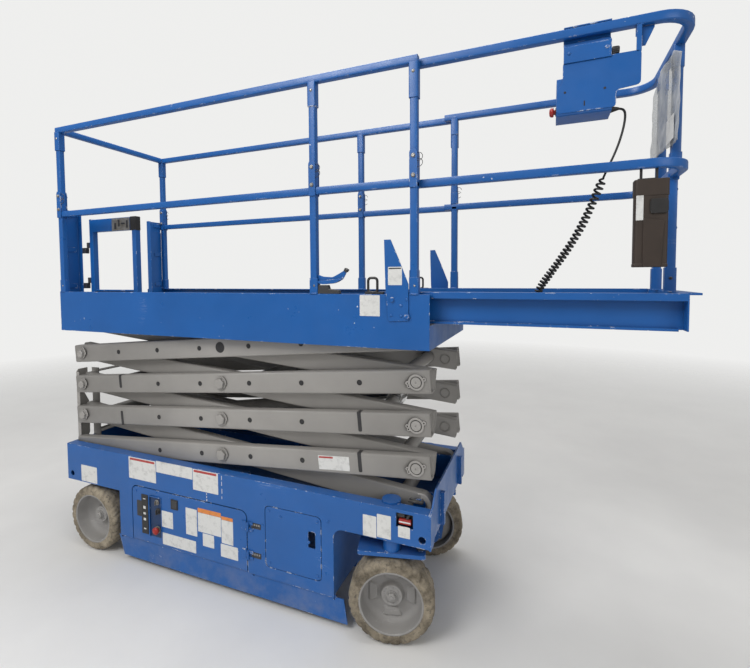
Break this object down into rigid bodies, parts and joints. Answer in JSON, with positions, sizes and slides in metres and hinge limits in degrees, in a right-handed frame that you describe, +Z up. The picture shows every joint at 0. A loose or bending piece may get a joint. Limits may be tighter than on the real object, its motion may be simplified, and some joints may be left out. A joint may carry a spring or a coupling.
{
  "type": "scissor lift",
  "caption": "Electric slab scissor lift on steered wheels: stacked arms raise a railed platform with a roll-out deck, swing gate and hung control box.",
  "frame": {"origin": "on the floor, below the middle of the whole machine with its deck rolled out", "axes": "+X towards the steered wheels and the roll-out deck, +Y towards the battery side, +Z up"},
  "size_m": [3.19, 0.8916, 2.5079],
  "materials": {
    "blue_paint": "semi-gloss, chipped",
    "arm_paint": "semi-gloss grey",
    "rim_paint": "worn grey",
    "floor_grey": "grippy coating",
    "dark_steel": "satin",
    "zinc": "zinc plated",
    "chrome": "polished",
    "tyre": "non-marking, dusty",
    "nylon": "worn",
    "battery_case": "moulded",
    "black_plastic": "grained",
    "clear_sheet": "cloudy",
    "cord": "satin"
  },
  "bodies": {
    "chassis": {"chassis_frame": "blue_paint", "front_plate": "blue_paint", "side_covers": "blue_paint", "rear_axle": "blue_paint", "entry_ladder": "blue_paint"},
    "near_yoke": {"near_yoke": "blue_paint"},
    "far_yoke": {"far_yoke": "blue_paint"},
    "track_rod": {"track_rod": "dark_steel"},
    "near_front_wheel": {"near_front_tyre": "tyre", "near_front_rim": "rim_paint"},
    "far_front_wheel": {"far_front_tyre": "tyre", "far_front_rim": "rim_paint"},
    "near_rear_wheel": {"near_rear_tyre": "tyre", "near_rear_rim": "rim_paint"},
    "far_rear_wheel": {"far_rear_tyre": "tyre", "far_rear_rim": "rim_paint"},
    "near_tray": {"near_tray": "blue_paint", "pump_unit": "dark_steel", "ground_controls": "black_plastic"},
    "far_tray": {"far_tray": "blue_paint", "batteries": "battery_case"},
    "near_guard": {"near_guard": "blue_paint"},
    "far_guard": {"far_guard": "blue_paint"},
    "inner_1": {"inner_arms_1": "arm_paint"},
    "inner_2": {"inner_arms_2": "arm_paint"},
    "inner_3": {"inner_arms_3": "arm_paint"},
    "inner_4": {"inner_arms_4": "arm_paint"},
    "outer_1": {"outer_arms_1": "arm_paint"},
    "outer_2": {"outer_arms_2": "arm_paint"},
    "outer_3": {"outer_arms_3": "arm_paint"},
    "outer_4": {"outer_arms_4": "arm_paint"},
    "lower_blocks": {"lower_slide_blocks": "nylon"},
    "upper_blocks": {"upper_slide_blocks": "nylon"},
    "lift_barrel": {"lift_barrel": "arm_paint"},
    "lift_rod": {"lift_rod": "chrome"},
    "platform": {"platform_frame": "blue_paint", "platform_floor": "floor_grey", "near_rails_low": "blue_paint", "near_rails_high": "blue_paint", "far_rails_low": "blue_paint", "far_rails_high": "blue_paint", "rear_rail_high": "blue_paint", "rear_rails_low": "blue_paint", "gussets": "blue_paint", "tie_rings": "zinc", "deck_latch": "blue_paint", "deck_guides": "nylon"},
    "gate": {"gate": "blue_paint"},
    "deck": {"deck_frame": "blue_paint", "deck_floor": "floor_grey", "deck_rails_low": "blue_paint", "deck_rails_high": "blue_paint", "control_hanger": "blue_paint", "control_box": "blue_paint", "manual_box": "black_plastic", "front_sheet": "clear_sheet", "platform_socket": "black_plastic", "control_lead": "cord", "control_coil": "cord"}
  },
  "joints": [
    {"name": "raise", "type": "hinge", "parent": "chassis", "child": "inner_1", "pos_m": [0.585, 0, 0.6], "axis": [0, 1, 0], "range_deg": [-1.69, 55.86]},
    {"name": "outer_1_turn", "type": "hinge", "parent": "inner_1", "child": "outer_1", "pos_m": [-0.45679, 0, 0.69375], "axis": [0, 1, 0], "range_deg": [-111.74, 3.4]},
    {"name": "outer_2_turn", "type": "hinge", "parent": "inner_1", "child": "outer_2", "pos_m": [-1.49858, 0, 0.7875], "axis": [0, 1, 0], "range_deg": [-111.74, 3.4]},
    {"name": "inner_2_turn", "type": "hinge", "parent": "outer_2", "child": "inner_2", "pos_m": [-0.45679, 0, 0.88125], "axis": [0, 1, 0], "range_deg": [-3.4, 111.74]},
    {"name": "inner_3_turn", "type": "hinge", "parent": "outer_2", "child": "inner_3", "pos_m": [0.585, 0, 0.975], "axis": [0, 1, 0], "range_deg": [-3.4, 111.74]},
    {"name": "outer_3_turn", "type": "hinge", "parent": "inner_3", "child": "outer_3", "pos_m": [-0.45679, 0, 1.06875], "axis": [0, 1, 0], "range_deg": [-111.74, 3.4]},
    {"name": "outer_4_turn", "type": "hinge", "parent": "inner_3", "child": "outer_4", "pos_m": [-1.49858, 0, 1.1625], "axis": [0, 1, 0], "range_deg": [-111.74, 3.4]},
    {"name": "inner_4_turn", "type": "hinge", "parent": "outer_4", "child": "inner_4", "pos_m": [-0.45679, 0, 1.25625], "axis": [0, 1, 0], "range_deg": [-3.4, 111.74]},
    {"name": "platform_turn", "type": "hinge", "parent": "outer_4", "child": "platform", "pos_m": [0.585, 0, 1.35], "axis": [0, 1, 0], "range_deg": [-1.71, 55.88]},
    {"name": "lower_blocks_turn", "type": "hinge", "parent": "outer_1", "child": "lower_blocks", "pos_m": [-1.49858, 0, 0.6], "axis": [0, 1, 0], "range_deg": [-1.71, 55.88]},
    {"name": "upper_blocks_turn", "type": "hinge", "parent": "inner_4", "child": "upper_blocks", "pos_m": [-1.49858, 0, 1.35], "axis": [0, 1, 0], "range_deg": [-55.88, 1.71]},
    {"name": "cylinder_turn", "type": "hinge", "parent": "inner_1", "child": "lift_barrel", "pos_m": [-1.10816, 0, 0.75237], "axis": [0, 1, 0], "range_deg": [-119.52, 3.63]},
    {"name": "cylinder_slide", "type": "slide", "parent": "lift_barrel", "child": "lift_rod", "axis": [0.9873, 0, 0.159], "range_m": [-0.0291, 0.9448]},
    {"name": "steer", "type": "hinge", "parent": "chassis", "child": "near_yoke", "pos_m": [0.47, -0.3415, 0.44], "axis": [0, 0, 1], "range_deg": [-76, 48]},
    {"name": "far_steer", "type": "hinge", "parent": "chassis", "child": "far_yoke", "pos_m": [0.47, 0.3415, 0.44], "axis": [0, 0, 1], "range_deg": [-76, 48]},
    {"name": "track_rod_turn", "type": "hinge", "parent": "near_yoke", "child": "track_rod", "pos_m": [0.59614, -0.31005, 0.429], "axis": [0, 0, 1], "range_deg": [-48, 76]},
    {"name": "near_front_spin", "type": "hinge", "parent": "near_yoke", "child": "near_front_wheel", "pos_m": [0.47, -0.3415, 0.1905], "axis": [-0.2419, 0.9703, 0], "continuous": true},
    {"name": "near_rear_spin", "type": "hinge", "parent": "chassis", "child": "near_rear_wheel", "pos_m": [-1.38, -0.3415, 0.1905], "axis": [0, 1, 0], "continuous": true},
    {"name": "far_front_spin", "type": "hinge", "parent": "far_yoke", "child": "far_front_wheel", "pos_m": [0.47, 0.3415, 0.1905], "axis": [-0.2419, 0.9703, 0], "continuous": true},
    {"name": "far_rear_spin", "type": "hinge", "parent": "chassis", "child": "far_rear_wheel", "pos_m": [-1.38, 0.3415, 0.1905], "axis": [0, 1, 0], "continuous": true},
    {"name": "near_tray_swing", "type": "hinge", "parent": "chassis", "child": "near_tray", "pos_m": [-0.255, -0.4125, 0.3], "axis": [0, 0, 1], "range_deg": [0, 85]},
    {"name": "far_tray_swing", "type": "hinge", "parent": "chassis", "child": "far_tray", "pos_m": [-0.255, 0.4125, 0.3], "axis": [0, 0, -1], "range_deg": [0, 85]},
    {"name": "guard_fold", "type": "hinge", "parent": "chassis", "child": "near_guard", "pos_m": [-0.455, -0.393, 0.1475], "axis": [1, 0, 0], "range_deg": [0, 85]},
    {"name": "far_guard_fold", "type": "hinge", "parent": "chassis", "child": "far_guard", "pos_m": [-0.455, 0.393, 0.1475], "axis": [-1, 0, 0], "range_deg": [0, 85]},
    {"name": "gate_swing", "type": "hinge", "parent": "platform", "child": "gate", "pos_m": [-1.527, -0.262, 1.7], "axis": [0, 0, 1], "range_deg": [0, 90]},
    {"name": "roll_out", "type": "slide", "parent": "platform", "child": "deck", "axis": [1, 0, 0], "range_m": [-0.91, 0]}
  ],
  "couplings": [
    {"joint": "outer_1_turn", "follows": "raise", "ratio": -2},
    {"joint": "outer_2_turn", "follows": "raise", "ratio": -2},
    {"joint": "inner_2_turn", "follows": "raise", "ratio": 2},
    {"joint": "inner_3_turn", "follows": "raise", "ratio": 2},
    {"joint": "outer_3_turn", "follows": "raise", "ratio": -2},
    {"joint": "outer_4_turn", "follows": "raise", "ratio": -2},
    {"joint": "inner_4_turn", "follows": "raise", "ratio": 2},
    {"joint": "platform_turn", "follows": "raise", "ratio": 1},
    {"joint": "lower_blocks_turn", "follows": "raise", "ratio": 1},
    {"joint": "upper_blocks_turn", "follows": "raise", "ratio": -1},
    {"joint": "cylinder_turn", "follows": "raise", "ratio": -2.1393},
    {"joint": "cylinder_slide", "follows": "raise", "m_per_rad": 0.96864},
    {"joint": "far_steer", "follows": "steer", "ratio": 1},
    {"joint": "track_rod_turn", "follows": "steer", "ratio": -1},
    {"joint": "far_guard_fold", "follows": "guard_fold", "ratio": 1}
  ]
}
